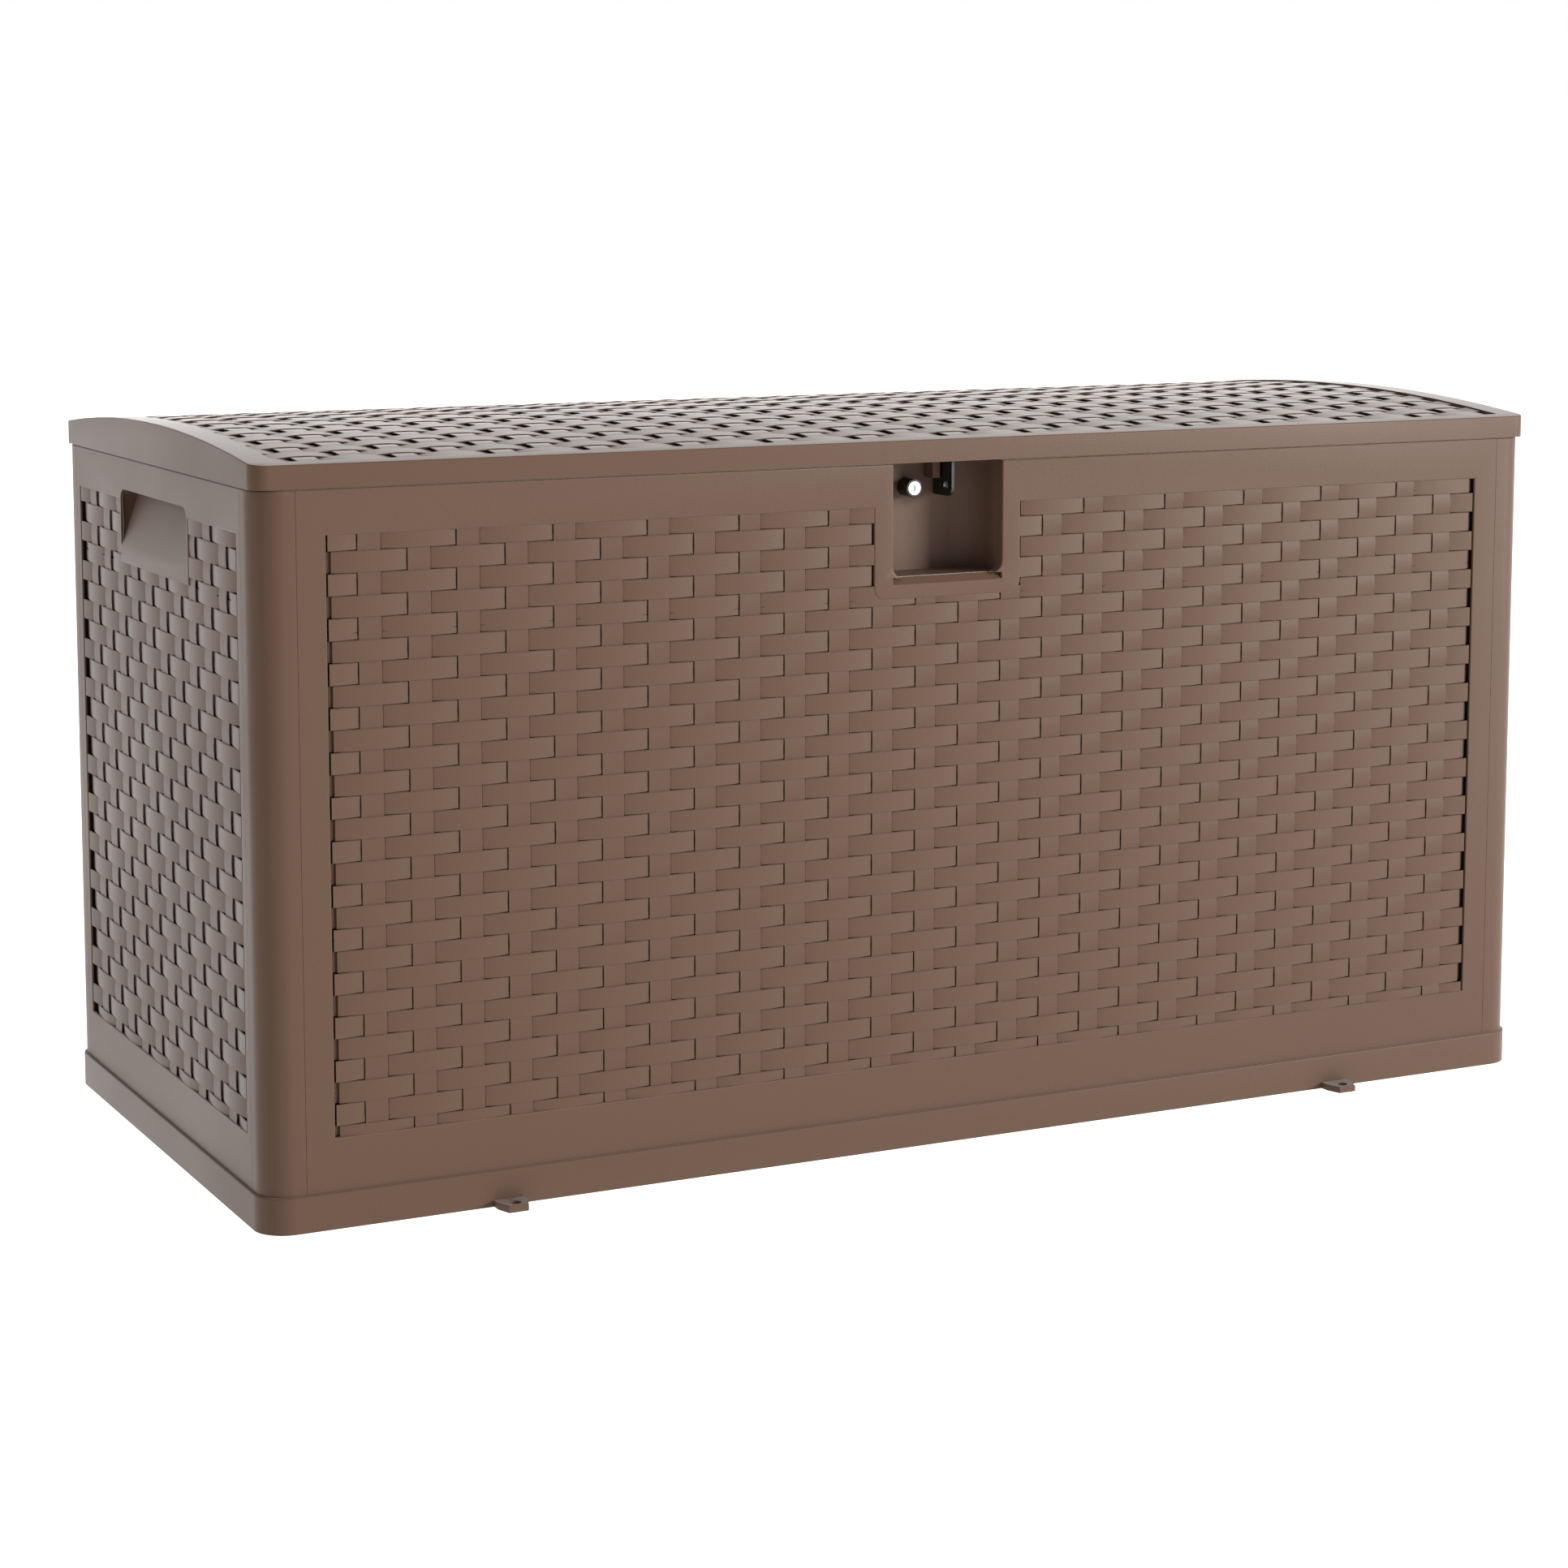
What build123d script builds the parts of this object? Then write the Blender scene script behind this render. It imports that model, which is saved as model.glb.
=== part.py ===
from build123d import *
import math
import os

os.makedirs("parts", exist_ok=True)

# A resin deck storage box: a raised base tray, four woven-look wall panels held by corner posts,
# and an arched lid on three rear hinges. Millimetres. The origin is on the floor under the middle
# of the box, +X runs along its length, the front faces -Y and +Z is up.

# Body
LENGTH = 1226.0
DEPTH = 543.0
WALL_TOP = 591.3
WALL_DEPTH = 22.0
SKIN = 3.5
CORNER_RADIUS = 24.5
POST_LEG = 34.0
SEAM = 0.3
EDGE_ROUND = 1.2

# Base tray
TRAY_HEIGHT = 30.0
TRAY_LIP = 2.5
TRAY_WALL = 3.5
TRAY_DECK = 4.0
TRAY_RIB = 4.0
TRAY_BAYS_X = 11
TRAY_BAYS_Y = 5

# Woven fields
WEAVE_DEPTH = 6.0
WEAVE_BOTTOM = 74.0
WEAVE_TOP = 555.0
WEAVE_HALF_FRONT = 554.5
WEAVE_HALF_SIDE = 226.6
RIB_THICK = 3.0
RIB_PITCH = 110.0

# Tongues between the panels, the posts and the tray
TONGUE_WIDTH = 7.6
TONGUE_REACH = 5.5
GROOVE_CLEARANCE = 0.2
FOOT_LENGTH = 40.0
FOOT_SHARE_LONG = 0.7
FOOT_SHARE_SHORT = 0.6

# Latch pocket in the front panel
PLATE_HALF = 71.0
PLATE_BOTTOM = 477.0
WINDOW_HALF = 53.0
WINDOW_BOTTOM = 495.0
WINDOW_CORNER = 10.0
WINDOW_CHAMFER = 6.0
POCKET_DEPTH = 50.0
POCKET_WALL = 3.0
POCKET_BACK_RADIUS = 25.0
FLANGE_WIDTH = 15.0
LUG_SIZE = 7.0
LUG_BOTTOM = 575.0
HASP_GAP = 1.5
LATCH_SCREW_UP = 8.0
LATCH_SCREW_DOWN = 20.0

# Side handles
HANDLE_HALF = 99.0
HANDLE_PLATE_BOTTOM = 500.0
SCOOP_TOP = 564.0
SCOOP_BOTTOM = 515.0
SCOOP_DEPTH = 17.5
SCOOP_MARGIN = 3.0
SCOOP_CORNER = 10.0

# Key lock
LOCK_X = -15.0
LOCK_Z = 567.0
BARREL_RADIUS = 7.75
BARREL_REACH = 17.0
BARREL_SHANK = 7.5
PLUG_RADIUS = 6.3
PLUG_CLEARANCE = 0.05
PLUG_PROUD = 0.6
KEYWAY_WIDTH = 1.2
KEYWAY_HEIGHT = 6.0
KEYWAY_DEPTH = 8.0
NUT_ACROSS = 19.0
NUT_THICK = 5.0
CAM_LENGTH = 20.0
CAM_WIDTH = 10.0
CAM_THICK = 2.5
CAM_GAP = 1.0
STUB_RADIUS = 3.0

# Lid
LID_GAP = 0.5
LID_OVER_END = 0.5
LID_OVER_FRONT = 0.2
LID_SKIRT = 19.2
LID_RISE = 16.0
LID_CORNER = 14.0
LID_WALL = 4.0
LID_RIM_END = 24.5
LID_RIM_FRONT = 13.7
LIP_DROP = 8.0
LIP_THICK = 2.5
LIP_CLEARANCE = 1.5
LIP_POST_GAP = 4.0
LID_RIB_GAP = 3.0
TUBE_RADIUS = 8.0
TUBE_WALL = 1.2
TUBE_Y = 120.0
TUBE_CLEARANCE = 0.2

# Steel hasp and keeper under the lid
STEEL = 2.5
HASP_X = 12.0
HASP_SETBACK = 16.0
HASP_BOTTOM = 560.0
HASP_CORNER = 8.0
EYE_RADIUS = 4.0
EYE_Z = 569.0
EYE_SETBACK = 10.5
FLANGE_REACH = 24.0
KEEPER_LEDGE = 8.0
KEEPER_DEPTH = 8.0
BLOCK_MARGIN = 6.0

# Hinges
HINGE_X = (-420.0, 0.0, 420.0)
LEAF_WIDTH = 60.0
LEAF_THICK = 2.0
KNUCKLE_RADIUS = 5.0
KNUCKLE_GAP = 0.5
PIN_RADIUS = 2.5
PIN_CLEARANCE = 0.05
LEAF_DROP = 26.0
LEAF_SCREW_MARGIN = 4.0
HINGE_MARGIN = 1.0
HINGE_GAP = 0.3

# Screws
SCREW_RADIUS = 2.0
SCREW_HEAD = 4.0
SCREW_HEAD_THICK = 1.8
SCREW_LENGTH = 9.0
SCREW_TIP_SKIN = 3.0
SCREW_TIP_GAP = 0.5
LID_SCREW_LENGTH = 7.0

# Floor anchors
ANCHOR_X = 408.0
ANCHOR_REACH = 22.0
ANCHOR_THICK = 5.5
ANCHOR_ROOT = 26.0
ANCHOR_NOSE = 17.0
ANCHOR_SHOULDER = 9.0
ANCHOR_HOLE = 4.75
ANCHOR_HOLE_OUT = 13.0
ANCHOR_INSERT = 14.0

# Faces worked out from the sizes above
FRONT_Y = -DEPTH / 2
BACK_Y = DEPTH / 2
END_X = LENGTH / 2
TRAY_X = END_X + TRAY_LIP
TRAY_Y = BACK_Y + TRAY_LIP
LID_X = END_X + LID_OVER_END
LID_Y = BACK_Y + LID_OVER_FRONT
LID_BOTTOM = WALL_TOP + LID_GAP
LID_EDGE = LID_BOTTOM + LID_SKIRT
LID_TOP = LID_EDGE + LID_RISE
LID_RADIUS = (LID_Y ** 2 + LID_RISE ** 2) / (2 * LID_RISE)
LID_SKIN_UNDER = WEAVE_DEPTH + SKIN
POCKET_BACK = FRONT_Y + POCKET_DEPTH
HINGE_Y = LID_Y + KNUCKLE_RADIUS + HINGE_GAP
HINGE_Z = LID_BOTTOM
FLANGE_TOP = LID_BOTTOM + LID_GAP + STEEL
CAM_Y = POCKET_BACK + POCKET_WALL + NUT_THICK + CAM_GAP


def save(name, shape):
    """Write one node as a STEP file."""
    shape.label = name
    export_step(shape, f"parts/{name}.step")


def group(solids):
    """Several separate solids in one node."""
    return Compound(children=[s.solid() if not isinstance(s, Solid) else s for s in solids])


def block(x0, x1, y0, y1, z0, z1):
    """A box between two corners."""
    size = Box(x1 - x0, y1 - y0, z1 - z0)
    return Pos((x0 + x1) / 2, (y0 + y1) / 2, (z0 + z1) / 2) * size


def rod(radius, start, end):
    """A round bar between two points on a line along X, Y or Z."""
    a, b = Vector(*start), Vector(*end)
    turn = {
        "X": Rot(0, 90, 0),
        "Y": Rot(-90, 0, 0),
        "Z": Rot(0, 0, 0),
    }
    step = b - a
    axis = max(("X", abs(step.X)), ("Y", abs(step.Y)), ("Z", abs(step.Z)), key=lambda p: p[1])[0]
    middle = (a + b) * 0.5
    return Pos(*middle) * turn[axis] * Cylinder(radius, step.length)


def upright(x0, x1, y0, y1, z0, z1, radius):
    """A box with rounded vertical edges."""
    box = block(x0, x1, y0, y1, z0, z1)
    return fillet(box.edges().filter_by(Axis.Z), radius)


# ---------------------------------------------------------------- walls

def wall(half, feet):
    """A wall panel that faces -Y, its outer face on Y = 0 and its foot on the tray."""
    slab = block(-half, half, 0, WALL_DEPTH, TRAY_HEIGHT, WALL_TOP)
    room = block(
        -half + RIB_THICK, half - RIB_THICK,
        LID_SKIN_UNDER, WALL_DEPTH,
        TRAY_HEIGHT + RIB_THICK, WALL_TOP - RIB_THICK,
    )
    count = int(half // RIB_PITCH)
    for i in range(-count, count + 1):
        x = (i + 0.5) * RIB_PITCH
        if abs(x) < half - RIB_PITCH / 4:
            room -= block(
                x - RIB_THICK / 2, x + RIB_THICK / 2,
                0, WALL_DEPTH, TRAY_HEIGHT, WALL_TOP,
            )
    slab -= room
    for side in (-1, 1):
        tongue = block(
            -TONGUE_REACH, TONGUE_REACH,
            (WALL_DEPTH - TONGUE_WIDTH) / 2, (WALL_DEPTH + TONGUE_WIDTH) / 2,
            TRAY_HEIGHT + RIB_THICK, WALL_TOP - RIB_THICK,
        )
        slab += Pos(side * half, 0, 0) * tongue
    for x in feet:
        slab += foot(x, 0, TRAY_HEIGHT - TRAY_DECK - TONGUE_REACH)
    return slab


def foot(x, gap, bottom):
    """The tab under a wall, or with a gap the socket that it drops into."""
    return block(
        x - FOOT_LENGTH / 2 - gap, x + FOOT_LENGTH / 2 + gap,
        (WALL_DEPTH - TONGUE_WIDTH) / 2 - gap, (WALL_DEPTH + TONGUE_WIDTH) / 2 + gap,
        bottom, TRAY_HEIGHT + RIB_THICK / 2,
    )


def field(half, keep=None):
    """The shallow recess that the weave lies in."""
    cut = block(-half, half, 0, WEAVE_DEPTH, WEAVE_BOTTOM, WEAVE_TOP)
    if keep is not None:
        cut -= keep
    return cut


def soften(panel, radius=EDGE_ROUND):
    """Round the sharp edges where the outer face drops into a recess, and its top edge."""
    edges = panel.edges().filter_by_position(Axis.Y, -0.01, 0.01)
    return fillet([e for e in edges if not on_rim(e, panel) or e.center().Z > WALL_TOP - 0.01], radius)


def on_rim(edge, panel):
    """True for an edge on the outline of the panel itself."""
    box = panel.bounding_box()
    e = edge.bounding_box()
    reach = TONGUE_REACH + 0.5
    left = e.max.X < box.min.X + reach
    right = e.min.X > box.max.X - reach
    return left or right or e.min.Z > WALL_TOP - 1 or e.max.Z < TRAY_HEIGHT + 1


front_half = END_X - POST_LEG - SEAM
side_half = BACK_Y - POST_LEG - SEAM
front_feet = (-front_half * FOOT_SHARE_LONG, front_half * FOOT_SHARE_LONG)
side_feet = (-side_half * FOOT_SHARE_SHORT, side_half * FOOT_SHARE_SHORT)

back_wall = wall(front_half, front_feet) - field(WEAVE_HALF_FRONT)
back_wall = soften(back_wall)

# The front wall keeps a flush plate round the latch window, and the window is open to the top.
plate = block(-PLATE_HALF, PLATE_HALF, 0, WEAVE_DEPTH, PLATE_BOTTOM, WALL_TOP)
plate = fillet(plate.edges().filter_by(Axis.Y).group_by(Axis.Z)[0], WINDOW_CORNER)
window = block(-WINDOW_HALF, WINDOW_HALF, 0, LID_SKIN_UNDER, WINDOW_BOTTOM, WALL_TOP + 1)
window = fillet(window.edges().filter_by(Axis.Y).group_by(Axis.Z)[0], WINDOW_CORNER)
sill = Polyline(
    (0, WINDOW_BOTTOM - WINDOW_CHAMFER), (WINDOW_CHAMFER, WINDOW_BOTTOM), (0, WINDOW_BOTTOM), close=True
)
sill = extrude(make_face(Plane.YZ * sill), WINDOW_HALF, both=True)
gate = block(
    -WINDOW_HALF - POCKET_WALL - SEAM, WINDOW_HALF + POCKET_WALL + SEAM,
    LID_SKIN_UNDER, WALL_DEPTH + 1, WINDOW_BOTTOM, WALL_TOP + 1,
)
flange_room = block(
    -WINDOW_HALF - POCKET_WALL - FLANGE_WIDTH - SEAM, WINDOW_HALF + POCKET_WALL + FLANGE_WIDTH + SEAM,
    LID_SKIN_UNDER, WALL_DEPTH + 1, WINDOW_BOTTOM - FLANGE_WIDTH - SEAM, WALL_TOP - RIB_THICK,
)
front_wall = wall(front_half, front_feet) - field(WEAVE_HALF_FRONT, plate)
front_wall -= window
front_wall -= gate
front_wall -= flange_room
front_wall = soften(front_wall)
front_wall -= sill

latch_screw_spots = [
    (side * (WINDOW_HALF + FLANGE_WIDTH / 2 + POCKET_WALL / 2), z)
    for side in (-1, 1)
    for z in (WINDOW_BOTTOM + LATCH_SCREW_UP, WALL_TOP - LATCH_SCREW_DOWN)
]
for x, z in latch_screw_spots:
    front_wall -= rod(SCREW_RADIUS, (x, SCREW_TIP_SKIN, z), (x, LID_SKIN_UNDER, z))
save("front_panel", Pos(0, FRONT_Y, 0) * front_wall)

# The side walls keep a flush plate with a finger scoop, deep at its top lip and running out below.
grip = block(-HANDLE_HALF, HANDLE_HALF, 0, WEAVE_DEPTH, HANDLE_PLATE_BOTTOM, WEAVE_TOP + 1)
scoop = Polyline((0, SCOOP_BOTTOM), (SCOOP_DEPTH, SCOOP_TOP), (0, SCOOP_TOP), close=True)
scoop = extrude(make_face(Plane.YZ * scoop), HANDLE_HALF - SCOOP_MARGIN, both=True)
scoop_corners = [
    e for e in scoop.edges().filter_by(Axis.Y) if e.center().Z > SCOOP_TOP - 1
]
scoop = fillet(scoop_corners, SCOOP_CORNER)
backing = block(
    -HANDLE_HALF - POCKET_WALL, HANDLE_HALF + POCKET_WALL,
    WEAVE_DEPTH, WALL_DEPTH, HANDLE_PLATE_BOTTOM, SCOOP_TOP + POCKET_WALL,
)
side_wall = wall(side_half, side_feet) + backing - field(WEAVE_HALF_SIDE, grip)
side_wall = soften(side_wall)
side_wall -= scoop
save("left_panel", Pos(-END_X, 0, 0) * Rot(0, 0, -90) * side_wall)
save("right_panel", Pos(END_X, 0, 0) * Rot(0, 0, 90) * side_wall)

# ---------------------------------------------------------------- corner posts

def post():
    """The front-left corner post, an angle with a round outer corner and a groove in each leg's end."""
    x0, y0 = -END_X, FRONT_Y
    angle = block(x0, x0 + POST_LEG, y0, y0 + POST_LEG, TRAY_HEIGHT, WALL_TOP)
    angle = fillet(angle.edges().filter_by(Axis.Z).group_by(Axis.X)[0].sort_by(Axis.Y)[0], CORNER_RADIUS)
    outer = [
        e for e in angle.edges()
        if e.center().Z > WALL_TOP - 0.01 and min(e.center().X - x0, e.center().Y - y0) < CORNER_RADIUS / 2
    ]
    angle = fillet(outer, EDGE_ROUND)
    angle -= block(
        x0 + WALL_DEPTH, x0 + POST_LEG + 1, y0 + WALL_DEPTH, y0 + POST_LEG + 1,
        TRAY_HEIGHT - 1, WALL_TOP + 1,
    )
    width = TONGUE_WIDTH / 2 + GROOVE_CLEARANCE
    depth = TONGUE_REACH + GROOVE_CLEARANCE
    middle = WALL_DEPTH / 2
    groove_bottom = TRAY_HEIGHT + RIB_THICK - GROOVE_CLEARANCE
    groove_top = WALL_TOP - RIB_THICK + GROOVE_CLEARANCE
    angle -= block(
        x0 + POST_LEG - depth, x0 + POST_LEG + 1, y0 + middle - width, y0 + middle + width,
        groove_bottom, groove_top,
    )
    angle -= block(
        x0 + middle - width, x0 + middle + width, y0 + POST_LEG - depth, y0 + POST_LEG + 1,
        groove_bottom, groove_top,
    )
    return angle


front_left = post()
save("post_front_left", front_left)
save("post_front_right", mirror(front_left, Plane.YZ))
save("post_back_left", mirror(front_left, Plane.XZ))
save("post_back_right", mirror(mirror(front_left, Plane.YZ), Plane.XZ))

# ---------------------------------------------------------------- base tray and anchors

tray = upright(-TRAY_X, TRAY_X, -TRAY_Y, TRAY_Y, 0, TRAY_HEIGHT, CORNER_RADIUS + TRAY_LIP)
tray = fillet(tray.faces().sort_by(Axis.Z)[-1].edges(), EDGE_ROUND)
bay_x = (2 * TRAY_X - 2 * TRAY_WALL + TRAY_RIB) / TRAY_BAYS_X
bay_y = (2 * TRAY_Y - 2 * TRAY_WALL + TRAY_RIB) / TRAY_BAYS_Y
for i in range(TRAY_BAYS_X):
    for j in range(TRAY_BAYS_Y):
        x = -TRAY_X + TRAY_WALL + i * bay_x
        y = -TRAY_Y + TRAY_WALL + j * bay_y
        bay = block(x, x + bay_x - TRAY_RIB, y, y + bay_y - TRAY_RIB, -1, TRAY_HEIGHT - TRAY_DECK)
        tray -= bay & upright(
            -TRAY_X + TRAY_WALL, TRAY_X - TRAY_WALL, -TRAY_Y + TRAY_WALL, TRAY_Y - TRAY_WALL,
            -1, TRAY_HEIGHT, CORNER_RADIUS + TRAY_LIP - TRAY_WALL,
        )
socket_bottom = TRAY_HEIGHT - TRAY_DECK - TONGUE_REACH - GROOVE_CLEARANCE
for x in front_feet:
    socket = foot(x, GROOVE_CLEARANCE, socket_bottom)
    tray -= Pos(0, FRONT_Y, 0) * socket
    tray -= Pos(0, BACK_Y, 0) * Rot(0, 0, 180) * socket
for x in side_feet:
    socket = foot(x, GROOVE_CLEARANCE, socket_bottom)
    tray -= Pos(-END_X, 0, 0) * Rot(0, 0, -90) * socket
    tray -= Pos(END_X, 0, 0) * Rot(0, 0, 90) * socket


def anchor():
    """The front-left floor anchor: a lug with a bolt hole, keyed into the tray's rim."""
    y = -TRAY_Y
    outline = Polyline(
        (-ANCHOR_ROOT / 2, y + ANCHOR_INSERT),
        (-ANCHOR_ROOT / 2, y - ANCHOR_SHOULDER),
        (-ANCHOR_NOSE / 2, y - ANCHOR_REACH),
        (ANCHOR_NOSE / 2, y - ANCHOR_REACH),
        (ANCHOR_ROOT / 2, y - ANCHOR_SHOULDER),
        (ANCHOR_ROOT / 2, y + ANCHOR_INSERT),
        close=True,
    )
    lug = extrude(make_face(outline), ANCHOR_THICK)
    lug -= rod(ANCHOR_HOLE, (0, y - ANCHOR_HOLE_OUT, -1), (0, y - ANCHOR_HOLE_OUT, ANCHOR_THICK + 1))
    lug = fillet(
        [e for e in lug.edges() if e.center().Z > ANCHOR_THICK - 0.01 and e.center().Y < y - 0.5], 0.5
    )
    return Pos(-ANCHOR_X, 0, 0) * lug


slot = block(
    -ANCHOR_ROOT / 2 - GROOVE_CLEARANCE, ANCHOR_ROOT / 2 + GROOVE_CLEARANCE,
    -TRAY_Y - 1, -TRAY_Y + TRAY_WALL + 0.01, -1, ANCHOR_THICK + GROOVE_CLEARANCE,
)
slot = Pos(-ANCHOR_X, 0, 0) * slot
lug = anchor()
for name, flip_x, flip_y in (
    ("front_left", False, False),
    ("front_right", True, False),
    ("back_left", False, True),
    ("back_right", True, True),
):
    piece, cut = lug, slot
    if flip_x:
        piece, cut = mirror(piece, Plane.YZ), mirror(cut, Plane.YZ)
    if flip_y:
        piece, cut = mirror(piece, Plane.XZ), mirror(cut, Plane.XZ)
    tray -= cut
    save("anchor_" + name, piece)
save("base_tray", tray)

# ---------------------------------------------------------------- latch pocket

pocket_inner = block(
    -WINDOW_HALF, WINDOW_HALF, FRONT_Y + LID_SKIN_UNDER, POCKET_BACK, WINDOW_BOTTOM, WALL_TOP + 1
)
pocket_outer = block(
    -WINDOW_HALF - POCKET_WALL, WINDOW_HALF + POCKET_WALL,
    FRONT_Y + LID_SKIN_UNDER, POCKET_BACK + POCKET_WALL,
    WINDOW_BOTTOM - POCKET_WALL, WALL_TOP,
)
pocket_inner = fillet(
    pocket_inner.edges().filter_by(Axis.Z).group_by(Axis.Y)[-1], POCKET_BACK_RADIUS
)
pocket_outer = fillet(
    pocket_outer.edges().filter_by(Axis.Z).group_by(Axis.Y)[-1], POCKET_BACK_RADIUS + POCKET_WALL
)
flange = block(
    -WINDOW_HALF - POCKET_WALL - FLANGE_WIDTH, WINDOW_HALF + POCKET_WALL + FLANGE_WIDTH,
    FRONT_Y + LID_SKIN_UNDER, FRONT_Y + LID_SKIN_UNDER + POCKET_WALL,
    WINDOW_BOTTOM - FLANGE_WIDTH, WALL_TOP - RIB_THICK - SEAM,
)
stop_lug = block(
    HASP_X - HASP_GAP - LUG_SIZE, HASP_X - HASP_GAP,
    POCKET_BACK - HASP_SETBACK, POCKET_BACK + POCKET_WALL / 2, LUG_BOTTOM, WALL_TOP,
)
housing = pocket_outer + flange - pocket_inner + stop_lug
housing -= rod(
    BARREL_SHANK, (LOCK_X, POCKET_BACK - 1, LOCK_Z), (LOCK_X, POCKET_BACK + POCKET_WALL + 1, LOCK_Z)
)
for x, z in latch_screw_spots:
    y = FRONT_Y + LID_SKIN_UNDER
    housing -= rod(SCREW_RADIUS, (x, y - 1, z), (x, y + POCKET_WALL + 1, z))
save("latch_housing", housing)


def screw(spot, axis, length=SCREW_LENGTH):
    """A pan-head screw whose head rests at spot and whose shank runs along axis."""
    base = Vector(*spot)
    along = Vector(*axis)
    back = base - along * SCREW_HEAD_THICK
    tip = base + along * length
    head = rod(SCREW_HEAD, tuple(back), tuple(base))
    top = head.edges().filter_by(GeomType.CIRCLE).sort_by(lambda e: (e.center() - back).length)[0]
    head = fillet(top, SCREW_HEAD_THICK * 0.5)
    return head + rod(SCREW_RADIUS, tuple(base), tuple(tip))


latch_screw_y = FRONT_Y + LID_SKIN_UNDER + POCKET_WALL
latch_screw_length = latch_screw_y - FRONT_Y - SCREW_TIP_SKIN - SCREW_TIP_GAP
save("latch_screws", group([
    screw((x, latch_screw_y, z), (0, -1, 0), latch_screw_length) for x, z in latch_screw_spots
]))

# ---------------------------------------------------------------- key lock

barrel_front = POCKET_BACK - BARREL_REACH
wall_back = POCKET_BACK + POCKET_WALL
barrel = rod(BARREL_RADIUS, (LOCK_X, barrel_front, LOCK_Z), (LOCK_X, POCKET_BACK, LOCK_Z))
rim = barrel.edges().filter_by(GeomType.CIRCLE).sort_by(Axis.Y)[0]
barrel = fillet(rim, 0.8)
barrel += rod(BARREL_SHANK, (LOCK_X, POCKET_BACK, LOCK_Z), (LOCK_X, wall_back + NUT_THICK, LOCK_Z))
barrel -= rod(
    PLUG_RADIUS + PLUG_CLEARANCE, (LOCK_X, barrel_front - 1, LOCK_Z), (LOCK_X, wall_back + NUT_THICK + 1, LOCK_Z)
)
save("lock_barrel", barrel)

nut = extrude(Plane.XZ * RegularPolygon(NUT_ACROSS / 2, 6, major_radius=False), -NUT_THICK)
nut = Pos(LOCK_X, wall_back, LOCK_Z) * nut
nut -= rod(BARREL_SHANK, (LOCK_X, wall_back - 1, LOCK_Z), (LOCK_X, wall_back + NUT_THICK + 1, LOCK_Z))
save("lock_nut", nut)

plug = rod(PLUG_RADIUS, (LOCK_X, barrel_front - PLUG_PROUD, LOCK_Z), (LOCK_X, CAM_Y, LOCK_Z))
plug = chamfer(plug.edges().filter_by(GeomType.CIRCLE).sort_by(Axis.Y)[0], 0.5)
plug -= block(
    LOCK_X - KEYWAY_WIDTH / 2, LOCK_X + KEYWAY_WIDTH / 2,
    barrel_front - 2 * PLUG_PROUD, barrel_front + KEYWAY_DEPTH,
    LOCK_Z - KEYWAY_HEIGHT / 2, LOCK_Z + KEYWAY_HEIGHT / 2,
)
plug += rod(STUB_RADIUS, (LOCK_X, CAM_Y, LOCK_Z), (LOCK_X, CAM_Y + CAM_THICK, LOCK_Z))
save("lock_plug", plug)

cam = block(
    LOCK_X - CAM_WIDTH / 2, LOCK_X + CAM_WIDTH / 2, CAM_Y, CAM_Y + CAM_THICK,
    LOCK_Z - CAM_WIDTH / 2, LOCK_Z + CAM_LENGTH,
)
cam = fillet(cam.edges().filter_by(Axis.Y).group_by(Axis.Z)[0], CAM_WIDTH / 2 - 0.5)
cam = fillet(cam.edges().filter_by(Axis.Y).group_by(Axis.Z)[-1], 2)
cam -= rod(STUB_RADIUS, (LOCK_X, CAM_Y - 1, LOCK_Z), (LOCK_X, CAM_Y + CAM_THICK + 1, LOCK_Z))
save("lock_cam", cam)

cam_back = CAM_Y + CAM_THICK
cam_screw = rod(SCREW_HEAD, (LOCK_X, cam_back, LOCK_Z), (LOCK_X, cam_back + SCREW_HEAD_THICK, LOCK_Z))
cam_screw = fillet(cam_screw.edges().filter_by(GeomType.CIRCLE).sort_by(Axis.Y)[-1], 0.8)
save("cam_screw", cam_screw)

# ---------------------------------------------------------------- lid

def arch(half_x, half_y, lower):
    """The space under the lid's arch: half_x by half_y in plan, its top lowered by the given amount."""
    centre = LID_TOP - LID_RADIUS
    radius = LID_RADIUS - lower
    edge_z = centre + math.sqrt(radius ** 2 - half_y ** 2)
    side_a = Line((-half_y, LID_BOTTOM), (-half_y, edge_z))
    top = ThreePointArc((-half_y, edge_z), (0, centre + radius), (half_y, edge_z))
    side_b = Line((half_y, edge_z), (half_y, LID_BOTTOM))
    base = Line((half_y, LID_BOTTOM), (-half_y, LID_BOTTOM))
    outline = Plane.YZ * Wire([side_a, top, side_b, base])
    return extrude(make_face(outline), half_x, both=True)


lid = arch(LID_X, LID_Y, 0)
lid = fillet(lid.edges().filter_by(Axis.Z), LID_CORNER)
lid = fillet(
    [e for e in lid.edges() if e.center().Z > LID_EDGE - 1],
    EDGE_ROUND,
)
recess = arch(LID_X - LID_RIM_END, LID_Y - LID_RIM_FRONT, -20) - arch(LID_X, LID_Y, WEAVE_DEPTH)
lid -= recess
room = arch(LID_X - LID_WALL, LID_Y - LID_WALL, LID_SKIN_UNDER)
room = fillet(room.edges().filter_by(Axis.Z), LID_CORNER - LID_WALL)
lid -= room
rib_zone = block(
    -LID_X, LID_X, -LID_Y, LID_Y, LID_BOTTOM + LID_RIB_GAP, LID_TOP
)
rib_count = int(LID_X // RIB_PITCH)
rib_spots = [
    (i + 0.5) * RIB_PITCH for i in range(-rib_count - 1, rib_count + 1)
    if abs((i + 0.5) * RIB_PITCH) < LID_X - RIB_PITCH / 3
]
for x in rib_spots:
    rib = room & rib_zone & block(x - RIB_THICK / 2, x + RIB_THICK / 2, -LID_Y, LID_Y, 0, LID_TOP)
    lid += rib

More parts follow.
